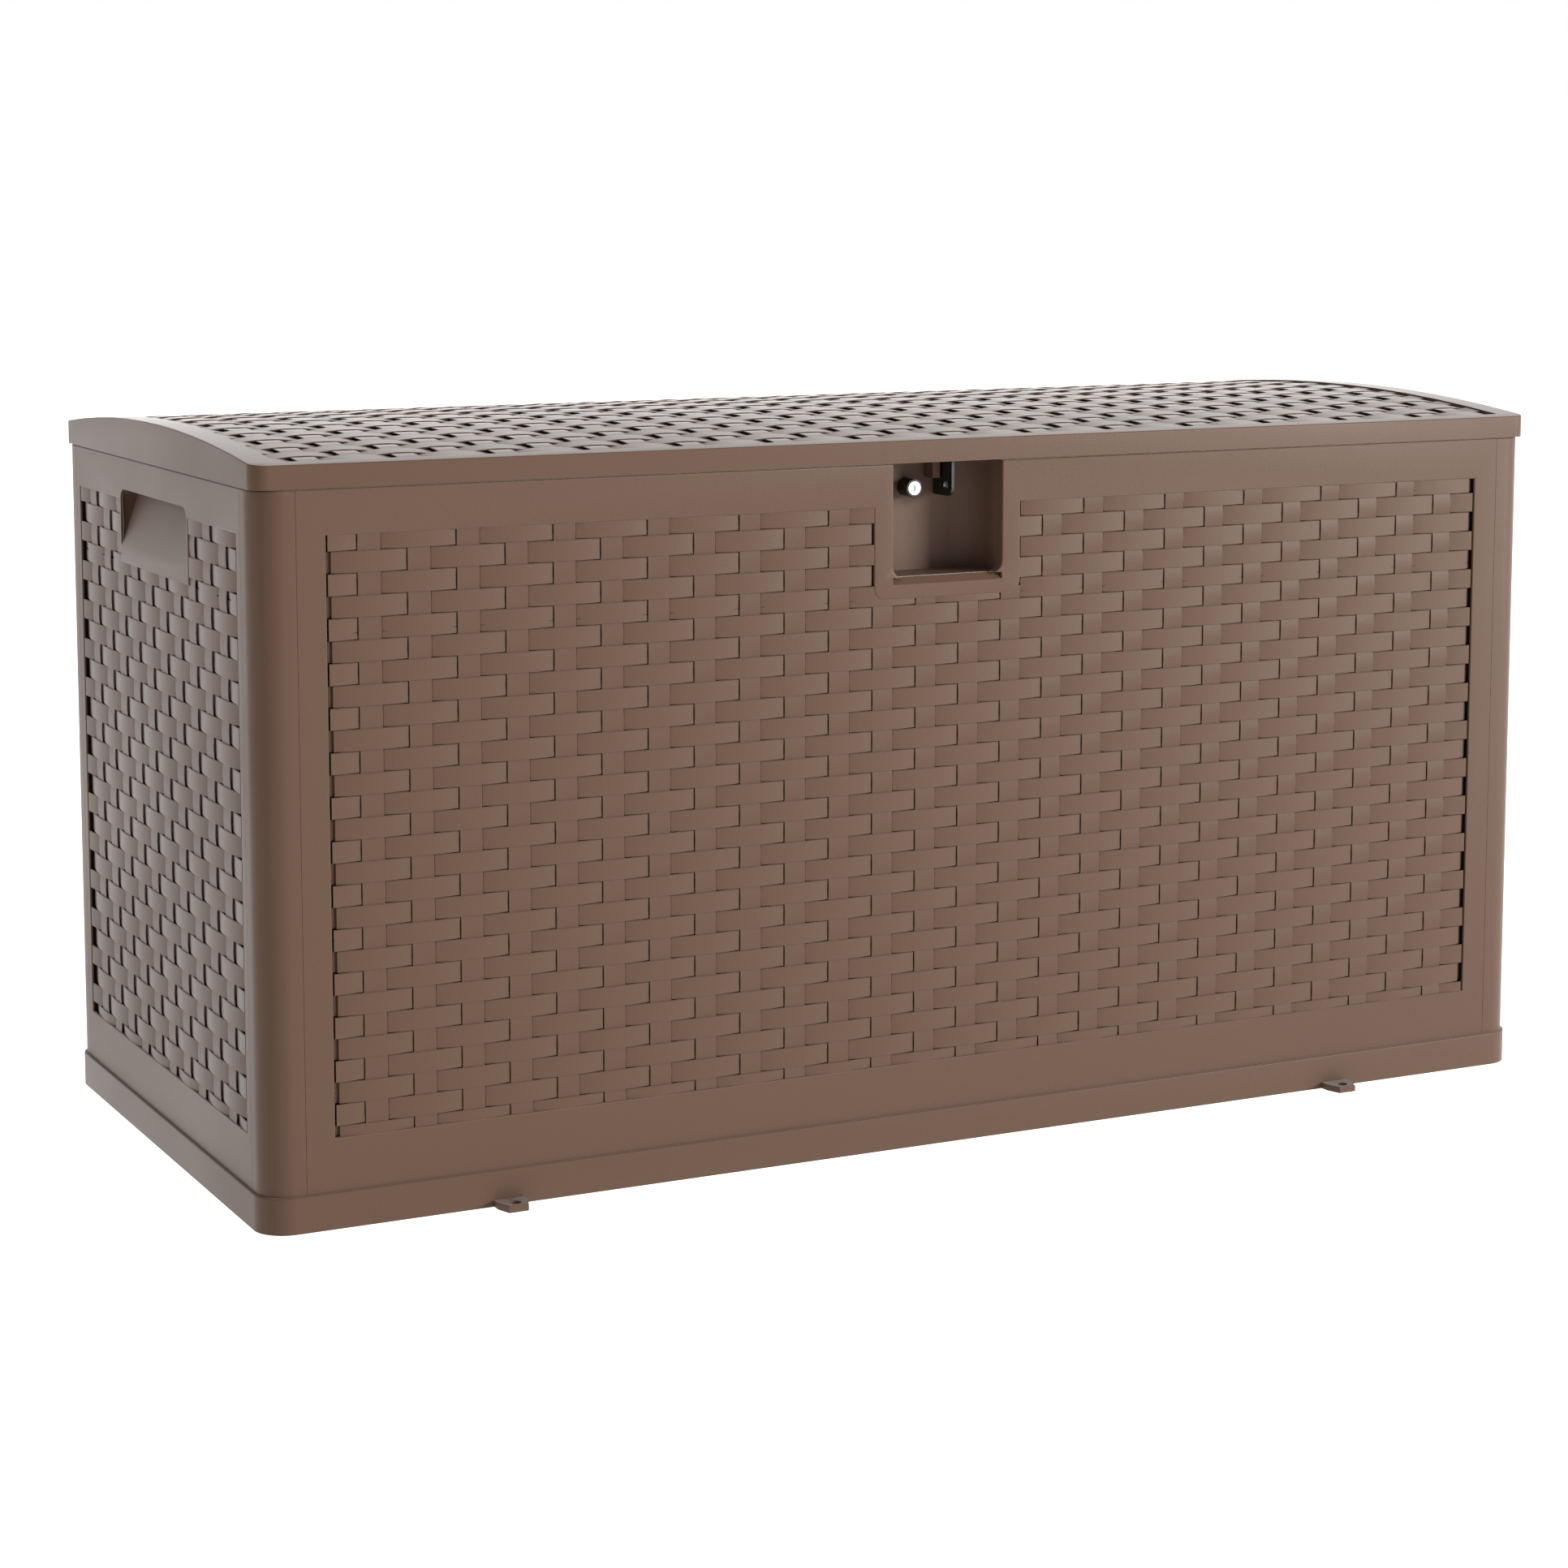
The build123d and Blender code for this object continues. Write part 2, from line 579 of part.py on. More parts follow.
tube_z = LID_BOTTOM + LID_RIB_GAP + TUBE_RADIUS + 1
for y in (-TUBE_Y, TUBE_Y):
    bore = TUBE_RADIUS + TUBE_CLEARANCE
    reach = LID_X - LID_WALL - 1
    lid -= rod(bore, (-reach, y, tube_z), (reach, y, tube_z))
tube_reach = LID_X - LID_WALL - 2
for name, y in (("brace_tube_front", -TUBE_Y), ("brace_tube_back", TUBE_Y)):
    tube = rod(TUBE_RADIUS, (-tube_reach, y, tube_z), (tube_reach, y, tube_z))
    tube -= rod(TUBE_RADIUS - TUBE_WALL, (-tube_reach - 1, y, tube_z), (tube_reach + 1, y, tube_z))
    save(name, tube)

# Strips under the lid drop just inside the walls and keep rain out. The long ones are fixed to the ribs
# and stop at the latch pocket; the short ones are fixed to the lid's skin.
lip_x = END_X - WALL_DEPTH - LIP_CLEARANCE
lip_y = BACK_Y - WALL_DEPTH - LIP_CLEARANCE
lip_bottom = LID_BOTTOM - LIP_DROP
lip_end = END_X - POST_LEG - LIP_POST_GAP
lip_side = BACK_Y - POST_LEG - LIP_POST_GAP
notch = WINDOW_HALF + POCKET_WALL + FLANGE_WIDTH
long_strip = block(notch, lip_end, -lip_y, -lip_y + LIP_THICK, lip_bottom, LID_BOTTOM + LID_RIB_GAP)
save("rain_strip_front_right", long_strip)
save("rain_strip_front_left", mirror(long_strip, Plane.YZ))
save("rain_strip_back", block(
    -lip_end, lip_end, lip_y - LIP_THICK, lip_y, lip_bottom, LID_BOTTOM + LID_RIB_GAP
))
short_strip = block(lip_x - LIP_THICK, lip_x, -lip_side, lip_side, lip_bottom, LID_BOTTOM)
short_strip += room & block(lip_x - LIP_THICK, lip_x, -lip_side, lip_side, LID_BOTTOM, LID_TOP)
for y in (-TUBE_Y, TUBE_Y):
    short_strip -= rod(TUBE_RADIUS + TUBE_CLEARANCE, (lip_x - 2 * LIP_THICK, y, tube_z), (lip_x + LIP_THICK, y, tube_z))
save("rain_strip_right", short_strip)
save("rain_strip_left", mirror(short_strip, Plane.YZ))

# A block under the lid carries the steel hasp, which hangs in the latch pocket, and the lock's keeper.
block_x0 = HASP_X - BLOCK_MARGIN
block_x1 = HASP_X + FLANGE_REACH + BLOCK_MARGIN
hasp_y0 = FRONT_Y + HASP_SETBACK
hasp_y1 = POCKET_BACK - HASP_GAP
keeper_y0 = CAM_Y - (KEEPER_DEPTH - CAM_THICK) / 2
keeper_y1 = keeper_y0 + KEEPER_DEPTH
striker = room & block(
    block_x0, block_x1, FRONT_Y + LID_WALL, keeper_y1 + BLOCK_MARGIN, FLANGE_TOP, LID_TOP
)
hasp_screw_x = HASP_X + FLANGE_REACH * 0.6
hasp_screw_spots = [(hasp_screw_x, hasp_y0 + 7), (hasp_screw_x, hasp_y1 - 7)]
keeper_screw_spot = (hasp_screw_x, (keeper_y0 + keeper_y1) / 2)
for x, y in hasp_screw_spots + [keeper_screw_spot]:
    striker -= rod(SCREW_RADIUS, (x, y, FLANGE_TOP - 1), (x, y, FLANGE_TOP - STEEL + LID_SCREW_LENGTH + SCREW_TIP_GAP))
save("striker_block", striker)

hasp = block(HASP_X, HASP_X + STEEL, hasp_y0, hasp_y1, HASP_BOTTOM, FLANGE_TOP)
hasp = fillet(
    hasp.edges().filter_by(Axis.X).group_by(Axis.Z)[0].sort_by(Axis.Y)[0], HASP_CORNER
)
hasp += block(HASP_X, HASP_X + FLANGE_REACH, hasp_y0, hasp_y1, FLANGE_TOP - STEEL, FLANGE_TOP)
eye_y = hasp_y0 + EYE_SETBACK
hasp -= rod(EYE_RADIUS, (HASP_X - 1, eye_y, EYE_Z), (HASP_X + STEEL + 1, eye_y, EYE_Z))
for x, y in hasp_screw_spots:
    hasp -= rod(SCREW_RADIUS, (x, y, FLANGE_TOP - STEEL - 1), (x, y, FLANGE_TOP + 1))
save("hasp_plate", hasp)

cam_reach_x = LOCK_X + CAM_LENGTH
ledge_top = LOCK_Z - CAM_WIDTH / 2 - CAM_GAP
stem_x0 = cam_reach_x + CAM_GAP
keeper = block(stem_x0, stem_x0 + STEEL, keeper_y0, keeper_y1, ledge_top - STEEL, FLANGE_TOP)
keeper += block(
    stem_x0 - KEEPER_LEDGE, stem_x0 + STEEL, keeper_y0, keeper_y1, ledge_top - STEEL, ledge_top
)
keeper += block(
    stem_x0, HASP_X + FLANGE_REACH, keeper_y0, keeper_y1, FLANGE_TOP - STEEL, FLANGE_TOP
)
x, y = keeper_screw_spot
keeper -= rod(SCREW_RADIUS, (x, y, FLANGE_TOP - STEEL - 1), (x, y, FLANGE_TOP + 1))
save("lock_keeper", keeper)
save("striker_screws", group([
    screw((x, y, FLANGE_TOP - STEEL), (0, 0, 1), LID_SCREW_LENGTH)
    for x, y in hasp_screw_spots + [keeper_screw_spot]
]))

# ---------------------------------------------------------------- hinges

knuckle = (LEAF_WIDTH - 2 * KNUCKLE_GAP) / 3
side_knuckles = (
    (-LEAF_WIDTH / 2, -LEAF_WIDTH / 2 + knuckle),
    (LEAF_WIDTH / 2 - knuckle, LEAF_WIDTH / 2),
)
swing = KNUCKLE_RADIUS + HINGE_MARGIN
lid_leaf_bottom = HINGE_Z + swing
lid_leaf_top = LID_EDGE - EDGE_ROUND - 0.5
body_leaf_top = HINGE_Z - swing
body_leaf_bottom = body_leaf_top - LEAF_DROP
body_screw_z = body_leaf_bottom + SCREW_HEAD + LEAF_SCREW_MARGIN
lid_screw_z = (lid_leaf_bottom + lid_leaf_top) / 2
screw_dx = LEAF_WIDTH / 2 - SCREW_HEAD - LEAF_SCREW_MARGIN
back_panel_cuts = []
body_screws, lid_screws = [], []


def body_leaf():
    """The fixed leaf: a plate on the back wall, stepped out to two knuckles."""
    leaf = block(
        -LEAF_WIDTH / 2, LEAF_WIDTH / 2, BACK_Y, BACK_Y + LEAF_THICK, body_leaf_bottom, HINGE_Z - LID_GAP
    )
    leaf -= block(
        side_knuckles[0][1], side_knuckles[1][0], BACK_Y - 1, BACK_Y + LEAF_THICK + 1,
        HINGE_Z - swing, HINGE_Z + swing,
    )
    for a, b in side_knuckles:
        leaf += rod(KNUCKLE_RADIUS, (a, HINGE_Y, HINGE_Z), (b, HINGE_Y, HINGE_Z))
        outline = Polyline(
            (BACK_Y, HINGE_Z - LID_GAP), (HINGE_Y, HINGE_Z - LID_GAP),
            (HINGE_Y + KNUCKLE_RADIUS * 0.8, HINGE_Z - KNUCKLE_RADIUS * 0.6),
            (BACK_Y + LEAF_THICK, HINGE_Z - 3 * KNUCKLE_RADIUS), (BACK_Y, HINGE_Z - 3 * KNUCKLE_RADIUS),
            close=True,
        )
        leaf += Pos((a + b) / 2, 0, 0) * extrude(make_face(Plane.YZ * outline), (b - a) / 2, both=True)
    leaf -= rod(PIN_RADIUS, (-LEAF_WIDTH, HINGE_Y, HINGE_Z), (LEAF_WIDTH, HINGE_Y, HINGE_Z))
    return leaf


def lid_leaf():
    """The moving leaf: a plate on the lid's back skirt with the middle knuckle."""
    leaf = block(
        -LEAF_WIDTH / 2, LEAF_WIDTH / 2, LID_Y, LID_Y + LEAF_THICK, lid_leaf_bottom, lid_leaf_top
    )
    half = knuckle / 2
    leaf += block(-half, half, LID_Y, LID_Y + LEAF_THICK, HINGE_Z, lid_leaf_top)
    leaf += rod(KNUCKLE_RADIUS, (-half, HINGE_Y, HINGE_Z), (half, HINGE_Y, HINGE_Z))
    bore = PIN_RADIUS + PIN_CLEARANCE
    leaf -= rod(bore, (-LEAF_WIDTH, HINGE_Y, HINGE_Z), (LEAF_WIDTH, HINGE_Y, HINGE_Z))
    return leaf


pin = rod(PIN_RADIUS, (-LEAF_WIDTH / 2 - 1, HINGE_Y, HINGE_Z), (LEAF_WIDTH / 2 + 1, HINGE_Y, HINGE_Z))
pin = chamfer(pin.edges().filter_by(GeomType.CIRCLE), 0.4)
fixed_leaf, moving_leaf = body_leaf(), lid_leaf()
back_panel = Pos(0, BACK_Y, 0) * Rot(0, 0, 180) * back_wall
lid_screw_reach = LEAF_THICK + LID_WALL - 1
for dx in (-screw_dx, screw_dx):
    fixed_leaf -= rod(
        SCREW_RADIUS, (dx, BACK_Y - 1, body_screw_z), (dx, BACK_Y + LEAF_THICK + 1, body_screw_z)
    )
    moving_leaf -= rod(
        SCREW_RADIUS, (dx, LID_Y - 1, lid_screw_z), (dx, LID_Y + LEAF_THICK + 1, lid_screw_z)
    )
for name, hinge_x in zip(("left", "middle", "right"), HINGE_X):
    place = Pos(hinge_x, 0, 0)
    save("hinge_leaf_body_" + name, place * fixed_leaf)
    save("hinge_leaf_lid_" + name, place * moving_leaf)
    save("hinge_pin_" + name, place * pin)
    for dx in (-screw_dx, screw_dx):
        x = hinge_x + dx
        body_screws.append(screw((x, BACK_Y + LEAF_THICK, body_screw_z), (0, -1, 0)))
        lid_screws.append(screw((x, LID_Y + LEAF_THICK, lid_screw_z), (0, -1, 0), lid_screw_reach))
        tip = BACK_Y + LEAF_THICK - SCREW_LENGTH - SCREW_TIP_GAP
        back_panel -= rod(SCREW_RADIUS, (x, tip, body_screw_z), (x, BACK_Y + 1, body_screw_z))
        tip = LID_Y + LEAF_THICK - lid_screw_reach - SCREW_TIP_GAP
        lid -= rod(SCREW_RADIUS, (x, tip, lid_screw_z), (x, LID_Y + 1, lid_screw_z))
save("back_panel", back_panel)
save("hinge_screws_body", group(body_screws))
save("hinge_screws_lid", group(lid_screws))
save("lid_shell", lid)
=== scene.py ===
import math

import bmesh
import bpy
from mathutils import Matrix, Vector


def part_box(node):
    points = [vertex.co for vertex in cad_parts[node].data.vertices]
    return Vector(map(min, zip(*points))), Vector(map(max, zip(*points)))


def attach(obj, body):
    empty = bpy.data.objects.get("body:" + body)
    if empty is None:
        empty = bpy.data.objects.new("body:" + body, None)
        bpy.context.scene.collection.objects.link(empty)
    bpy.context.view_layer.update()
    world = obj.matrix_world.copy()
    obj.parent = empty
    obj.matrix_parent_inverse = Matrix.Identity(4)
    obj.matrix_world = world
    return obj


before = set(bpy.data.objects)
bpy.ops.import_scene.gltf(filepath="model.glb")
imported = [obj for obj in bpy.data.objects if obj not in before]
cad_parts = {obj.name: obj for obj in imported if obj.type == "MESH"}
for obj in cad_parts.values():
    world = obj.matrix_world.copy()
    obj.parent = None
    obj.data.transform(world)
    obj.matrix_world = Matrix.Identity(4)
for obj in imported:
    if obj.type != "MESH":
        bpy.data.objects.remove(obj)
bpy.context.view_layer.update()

# ---------------------------------------------------------------- camera, light and floor
# The box stands in a white studio: a white surround with a dark patch behind the viewer, a broad key light
# low on the right and a plain pale floor that glows. The camera looks down a little from the left.

CAMERA_PLACE = (-1.4356, -2.8221, 0.8383)
CAMERA_TURN = math.radians(26.64)
CAMERA_DIP = math.radians(7.043)
CAMERA_LENS = 79.46
CAMERA_RISE = -0.12
STUDIO_WHITE = 1.0
STUDIO_DIM = 0.10
DARK_SIDE = (-0.423, -0.906, 0.0)
DARK_FADE_START = 0.60
DARK_FADE_END = 0.88
KEY_POWER = 1420
KEY_SIZE = 2.4
KEY_PLACE = (7.1, -6.7, 2.3)
KEY_TARGET = (0, -0.2, 0.3)
FLOOR_REACH = 30
FLOOR_TONE = (0.3, 0.3, 0.3, 1)
FLOOR_GLOW = 1.3

scene = bpy.context.scene
scene.view_settings.view_transform = "Standard"

camera = bpy.data.objects.new("camera", bpy.data.cameras.new("camera"))
scene.collection.objects.link(camera)
camera.location = CAMERA_PLACE
camera.rotation_euler = (math.pi / 2 - CAMERA_DIP, 0, -CAMERA_TURN)
camera.data.lens = CAMERA_LENS
camera.data.shift_y = CAMERA_RISE
camera.data.clip_end = 60
scene.camera = camera


def add_node(tree, kind, settings=(), inputs=()):
    """A node with its properties and its unlinked sockets filled in."""
    made = tree.nodes.new(kind)
    for key, value in dict(settings).items():
        setattr(made, key, value)
    for key, value in dict(inputs).items():
        made.inputs[key].default_value = value
    return made


world = bpy.data.worlds.new("studio")
scene.world = world
world.use_nodes = True
tree = world.node_tree
tree.nodes.clear()
direction = add_node(tree, "ShaderNodeTexCoord")
toward_dark = add_node(tree, "ShaderNodeVectorMath", {"operation": "DOT_PRODUCT"})
toward_dark.inputs[1].default_value = DARK_SIDE
fade = add_node(
    tree, "ShaderNodeMapRange", {"interpolation_type": "SMOOTHSTEP"},
    {"From Min": DARK_FADE_START, "From Max": DARK_FADE_END, "To Min": STUDIO_WHITE, "To Max": STUDIO_DIM},
)
surround = add_node(tree, "ShaderNodeBackground")
out = add_node(tree, "ShaderNodeOutputWorld")
tree.links.new(direction.outputs["Generated"], toward_dark.inputs[0])
tree.links.new(toward_dark.outputs["Value"], fade.inputs["Value"])
tree.links.new(fade.outputs["Result"], surround.inputs["Color"])
tree.links.new(surround.outputs[0], out.inputs[0])


def soft_light(name, power, size, place, target):
    """A square area light that faces a point."""
    data = bpy.data.lights.new(name, "AREA")
    data.energy = power
    data.size = size
    lamp = bpy.data.objects.new(name, data)
    scene.collection.objects.link(lamp)
    lamp.location = place
    lamp.rotation_euler = (Vector(target) - Vector(place)).to_track_quat("-Z", "Y").to_euler()
    return lamp


soft_light("key_light", KEY_POWER, KEY_SIZE, KEY_PLACE, KEY_TARGET)

floor_mesh = bpy.data.meshes.new("floor")
floor_corners = [(x * FLOOR_REACH, y * FLOOR_REACH, 0) for x, y in ((-1, -1), (1, -1), (1, 1), (-1, 1))]
floor_mesh.from_pydata(floor_corners, [], [(0, 1, 2, 3)])
floor = bpy.data.objects.new("floor", floor_mesh)
scene.collection.objects.link(floor)
floor_paint = bpy.data.materials.new("pale_floor")
floor_paint.use_nodes = True
floor_shader = floor_paint.node_tree.nodes["Principled BSDF"]
floor_shader.inputs["Base Color"].default_value = FLOOR_TONE
floor_shader.inputs["Roughness"].default_value = 0.8
floor_shader.inputs["Emission Color"].default_value = (1, 1, 1, 1)
floor_shader.inputs["Emission Strength"].default_value = FLOOR_GLOW
floor.data.materials.append(floor_paint)

# ---------------------------------------------------------------- moulded resin
# Walls, posts, tray, lid and latch pocket are injection-moulded polypropylene in one taupe brown. The mould
# leaves a fine satin grain and faint flow clouds in the colour and gloss; at a low angle it looks pale.

RESIN_BROWN = (0.080, 0.0442, 0.0275, 1)
RESIN_DEEP = (0.074, 0.0408, 0.0254, 1)
RESIN_SPECULAR = 0.15
RESIN_SHEEN = 0.37
SHEEN_SPREAD = 0.3
GRAIN_DEPTH = 0.0004
GRAIN_STRENGTH = 0.25
SHARP_MOULDING = math.radians(28)


def moulded_grain_group():
    """Flow clouds for the colour and gloss, and a fine grain for the bump, on Object coordinates."""
    group = bpy.data.node_groups.new("moulded_grain", "ShaderNodeTree")
    face = group.interface
    for name, kind, value in (
        ("Tone", "NodeSocketColor", RESIN_BROWN),
        ("Cloud Tone", "NodeSocketColor", RESIN_DEEP),
        ("Cloud Scale", "NodeSocketFloat", 3.0),
        ("Grain Scale", "NodeSocketFloat", 900.0),
        ("Gloss Low", "NodeSocketFloat", 0.38),
        ("Gloss High", "NodeSocketFloat", 0.48),
    ):
        face.new_socket(name, in_out="INPUT", socket_type=kind).default_value = value
    face.new_socket("Color", in_out="OUTPUT", socket_type="NodeSocketColor")
    face.new_socket("Roughness", in_out="OUTPUT", socket_type="NodeSocketFloat")
    face.new_socket("Grain", in_out="OUTPUT", socket_type="NodeSocketFloat")
    given = add_node(group, "NodeGroupInput")
    result = add_node(group, "NodeGroupOutput")
    place = add_node(group, "ShaderNodeTexCoord")
    cloud = add_node(group, "ShaderNodeTexNoise", inputs={"Detail": 3.0, "Roughness": 0.55})
    grain = add_node(group, "ShaderNodeTexNoise", inputs={"Detail": 2.0, "Roughness": 0.6})
    tint = add_node(group, "ShaderNodeMix", {"data_type": "RGBA"})
    gloss = add_node(group, "ShaderNodeMapRange", inputs={"From Min": 0.35, "From Max": 0.65})
    link = group.links.new
    for texture, scale in ((cloud, "Cloud Scale"), (grain, "Grain Scale")):
        link(place.outputs["Object"], texture.inputs["Vector"])
        link(given.outputs[scale], texture.inputs["Scale"])
    link(cloud.outputs["Fac"], tint.inputs["Factor"])
    link(given.outputs["Tone"], tint.inputs["A"])
    link(given.outputs["Cloud Tone"], tint.inputs["B"])
    link(cloud.outputs["Fac"], gloss.inputs["Value"])
    link(given.outputs["Gloss Low"], gloss.inputs["To Min"])
    link(given.outputs["Gloss High"], gloss.inputs["To Max"])
    link(tint.outputs["Result"], result.inputs["Color"])
    link(gloss.outputs["Result"], result.inputs["Roughness"])
    link(grain.outputs["Fac"], result.inputs["Grain"])
    return group


moulded_grain = moulded_grain_group()


def moulded_plastic(name, values, sheen=RESIN_SHEEN):
    """A plastic with the mould's grain; values fill the grain group's sockets."""
    material = bpy.data.materials.new(name)
    material.use_nodes = True
    tree = material.node_tree
    shader = tree.nodes["Principled BSDF"]
    shader.inputs["Specular IOR Level"].default_value = RESIN_SPECULAR
    shader.inputs["Sheen Weight"].default_value = sheen
    shader.inputs["Sheen Roughness"].default_value = SHEEN_SPREAD
    skin = add_node(tree, "ShaderNodeGroup", {"node_tree": moulded_grain}, values)
    relief = add_node(tree, "ShaderNodeBump", inputs={"Strength": GRAIN_STRENGTH, "Distance": GRAIN_DEPTH})
    tree.links.new(skin.outputs["Color"], shader.inputs["Base Color"])
    tree.links.new(skin.outputs["Roughness"], shader.inputs["Roughness"])
    tree.links.new(skin.outputs["Grain"], relief.inputs["Height"])
    tree.links.new(relief.outputs["Normal"], shader.inputs["Normal"])
    return material


resin = moulded_plastic("taupe_resin", {})


def smooth_by_angle(limit):
    """A tree that welds a CAD node's triangles, smooths its curved faces and keeps real edges sharp."""
    tree = bpy.data.node_groups.new("smooth_moulding", "GeometryNodeTree")
    tree.interface.new_socket("Geometry", in_out="INPUT", socket_type="NodeSocketGeometry")
    tree.interface.new_socket("Geometry", in_out="OUTPUT", socket_type="NodeSocketGeometry")
    given = add_node(tree, "NodeGroupInput")
    result = add_node(tree, "NodeGroupOutput")
    weld = add_node(tree, "GeometryNodeMergeByDistance", inputs={"Distance": 0.00001})
    faces = add_node(tree, "GeometryNodeSetShadeSmooth", {"domain": "FACE"}, {"Shade Smooth": True})
    edges = add_node(tree, "GeometryNodeSetShadeSmooth", {"domain": "EDGE"}, {"Shade Smooth": False})
    angle = add_node(tree, "GeometryNodeInputMeshEdgeAngle")
    sharp = add_node(tree, "FunctionNodeCompare", {"operation": "GREATER_THAN"}, {"B": limit})
    link = tree.links.new
    link(given.outputs[0], weld.inputs["Geometry"])
    link(weld.outputs[0], faces.inputs["Geometry"])
    link(faces.outputs[0], edges.inputs["Geometry"])
    link(angle.outputs["Unsigned Angle"], sharp.inputs["A"])
    link(sharp.outputs[0], edges.inputs["Selection"])
    link(edges.outputs[0], result.inputs[0])
    return tree


smooth_moulding = smooth_by_angle(SHARP_MOULDING)


def dress(node, material):
    """Give a CAD node its finish and smooth curved faces."""
    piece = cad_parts[node]
    piece.data.materials.clear()
    piece.data.materials.append(material)
    shading = piece.modifiers.new("smooth_moulding", "NODES")
    shading.node_group = smooth_moulding


RESIN_NODES = (
    "base_tray", "front_panel", "back_panel", "left_panel", "right_panel",
    "post_front_left", "post_front_right", "post_back_left", "post_back_right",
    "lid_shell", "striker_block",
    "anchor_front_left", "anchor_front_right", "anchor_back_left", "anchor_back_right",
    "rain_strip_front_left", "rain_strip_front_right",
    "rain_strip_back", "rain_strip_left", "rain_strip_right",
)
for name in RESIN_NODES:
    dress(name, resin)
# Painted light: the latch pocket gets a paler copy of the walls' resin, making up for the light its shaded
# recess lacks. It has no sheen.
pocket_resin_painted_light = moulded_plastic("pocket_resin_painted_light", {
    "Tone": (0.102, 0.060, 0.041, 1), "Cloud Tone": (0.094, 0.055, 0.038, 1),
}, sheen=0.0)
dress("latch_housing", pocket_resin_painted_light)

# ---------------------------------------------------------------- woven fields of the walls
# Each wall's field is moulded as a plain weave: thin level ribbons that bulge over one stake and duck
# steeply behind the next, with gaps between. Every other row is shifted by one stake. A near-black tray of
# painted shade sits behind each field and darkens the gaps.

HALF_PITCH = 0.0415
RIBBON_PITCH = 0.01766
RIBBON_GAP = 0.00036
RIBBON_THICK = 0.0013
RIBBON_ROUND = 0.0005
RIBBON_FACE = 0.0004
RIBBON_CROWN = 0.0029
SIDE_CROWN = 0.0046
RIBBON_FOOT = 0.0049
SHOULDER = 0.742
FOOT = 0.762
STAKE_WIDTH = 0.0194
STAKE_THICK = 0.0009
STAKE_OVER = 0.0010
STAKE_UNDER = 0.0019
FIELD_BOTTOM = 0.074
FIELD_TOP = 0.555
FIELD_DEPTH = 0.006
PAINTED_SHADE_LIFT = 0.0003
PAINTED_SHADE_LIP = 0.0016
PAINTED_SHADE_GAP = 0.0002
STAKE_STEPS = 6
SHARP_WEAVE = math.radians(35)
FIRST_RIBBON = 0.07402
RIBBON_COUNT = 28
TUCK = 0.005
EDGE_GAP = 0.0015
FRONT_HALF = 0.5545
SIDE_HALF = 0.2266


def strip_rows_tree():
    """Turns a bent centre line into a flat strip with rounded edges and repeats it in rows up Z."""
    tree = bpy.data.node_groups.new("strip_rows", "GeometryNodeTree")
    face = tree.interface
    face.new_socket("Centre Line", in_out="INPUT", socket_type="NodeSocketGeometry")
    for name, kind in (
        ("Width", "NodeSocketFloat"), ("Thickness", "NodeSocketFloat"), ("Edge Round", "NodeSocketFloat"),
        ("First Row", "NodeSocketFloat"), ("Row Pitch", "NodeSocketFloat"), ("Rows", "NodeSocketInt"),
        ("Turn", "NodeSocketFloat"), ("Finish", "NodeSocketMaterial"),
    ):
        face.new_socket(name, in_out="INPUT", socket_type=kind)
    face.new_socket("Geometry", in_out="OUTPUT", socket_type="NodeSocketGeometry")
    given = add_node(tree, "NodeGroupInput")
    path = add_node(tree, "GeometryNodeMeshToCurve")
    level = add_node(tree, "GeometryNodeSetCurveNormal", {"mode": "Z_UP"})
    section = add_node(tree, "GeometryNodeCurvePrimitiveQuadrilateral")
    rounded = add_node(tree, "GeometryNodeFilletCurve", {"mode": "POLY"}, {"Count": 1})
    strip = add_node(tree, "GeometryNodeCurveToMesh", inputs={"Fill Caps": True})
    rows = add_node(tree, "GeometryNodeMeshLine", {"mode": "OFFSET"})
    start = add_node(tree, "ShaderNodeCombineXYZ")
    step = add_node(tree, "ShaderNodeCombineXYZ")
    copies = add_node(tree, "GeometryNodeInstanceOnPoints")
    real = add_node(tree, "GeometryNodeRealizeInstances")
    spin = add_node(tree, "ShaderNodeCombineXYZ")
    turned = add_node(tree, "GeometryNodeTransform")
    painted = add_node(tree, "GeometryNodeSetMaterial")
    result = add_node(tree, "NodeGroupOutput")
    for source, target in (
        (given.outputs["Centre Line"], path.inputs["Mesh"]),
        (path.outputs[0], level.inputs["Curve"]),
        (level.outputs[0], strip.inputs["Curve"]),
        (given.outputs["Thickness"], section.inputs["Width"]),
        (given.outputs["Width"], section.inputs["Height"]),
        (section.outputs[0], rounded.inputs["Curve"]),
        (given.outputs["Edge Round"], rounded.inputs["Radius"]),
        (rounded.outputs[0], strip.inputs["Profile Curve"]),
        (given.outputs["First Row"], start.inputs["Z"]),
        (given.outputs["Row Pitch"], step.inputs["Z"]),
        (given.outputs["Rows"], rows.inputs["Count"]),
        (start.outputs[0], rows.inputs["Start Location"]),
        (step.outputs[0], rows.inputs["Offset"]),
        (rows.outputs[0], copies.inputs["Points"]),
        (strip.outputs[0], copies.inputs["Instance"]),
        (copies.outputs[0], real.inputs[0]),
        (given.outputs["Turn"], spin.inputs["Y"]),
        (spin.outputs[0], turned.inputs["Rotation"]),
        (real.outputs[0], turned.inputs["Geometry"]),
        (turned.outputs[0], painted.inputs["Geometry"]),
        (given.outputs["Finish"], painted.inputs["Material"]),
        (painted.outputs[0], result.inputs[0]),
    ):
        tree.links.new(source, target)
    return tree


strip_rows = strip_rows_tree()


